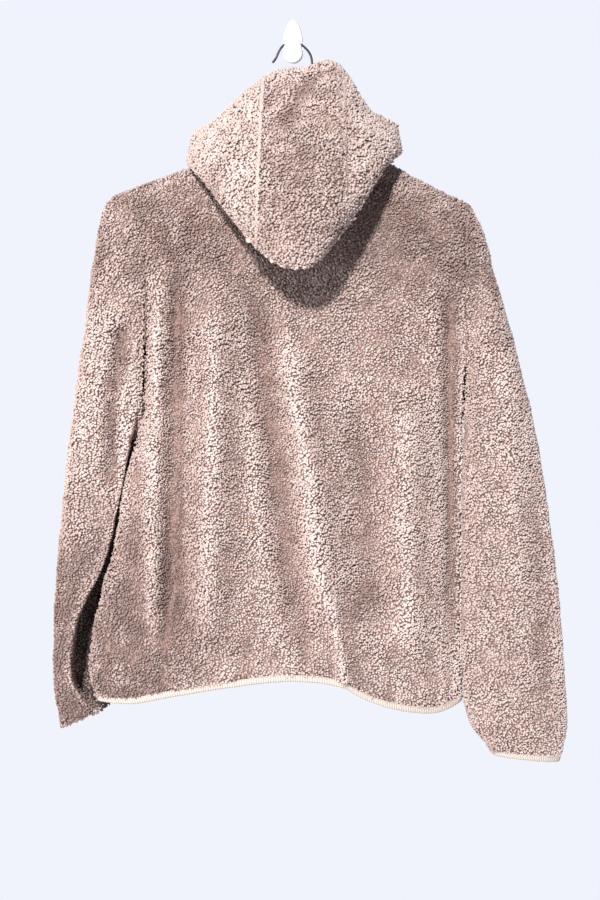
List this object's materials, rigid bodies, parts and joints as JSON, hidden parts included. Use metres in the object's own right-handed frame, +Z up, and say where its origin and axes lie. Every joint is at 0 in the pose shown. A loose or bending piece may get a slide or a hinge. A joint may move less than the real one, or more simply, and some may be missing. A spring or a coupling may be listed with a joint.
{
  "type": "hooded sherpa jacket on a hanger and wall hook",
  "caption": "Hooded pile-fleece zip jacket hung back outward on a bar hanger with a wire hook, from an adhesive wall hook that carries it.",
  "frame": {"origin": "centre of the wall hook's flat back pad, on the wall plane", "axes": "+Z up, +Y into the wall, +X to the right for someone who faces the wall"},
  "size_m": [0.6431, 0.175, 0.9527],
  "materials": {
    "pile": "curly pile fleece",
    "binding": "ribbed elastic binding",
    "tape": "woven zip tape and moulded coil",
    "wood": "satin",
    "metal": "bright drawn wire",
    "plastic": "gloss"
  },
  "bodies": {
    "jacket": {"back": "pile", "front_left": "pile", "front_right": "pile", "sleeve_left": "pile", "sleeve_right": "pile", "hood_left": "pile", "hood_centre": "pile", "hood_right": "pile", "hem_binding": "binding", "cuff_binding_left": "binding", "cuff_binding_right": "binding", "hood_binding": "binding", "zip_tape_left": "tape", "zip_tape_right": "tape", "zip_teeth": "metal", "hanger_bar": "wood", "hanger_hook": "metal", "wall_hook": "plastic", "zip_slider": "metal"},
    "pull_tab": {"zip_pull": "metal"}
  },
  "joints": [
    {"name": "pull_tab_swing", "type": "hinge", "parent": "jacket", "child": "pull_tab", "pos_m": [0.01133, -0.01257, -0.25117], "axis": [1, 0, 0], "range_deg": [0, 150]}
  ]
}
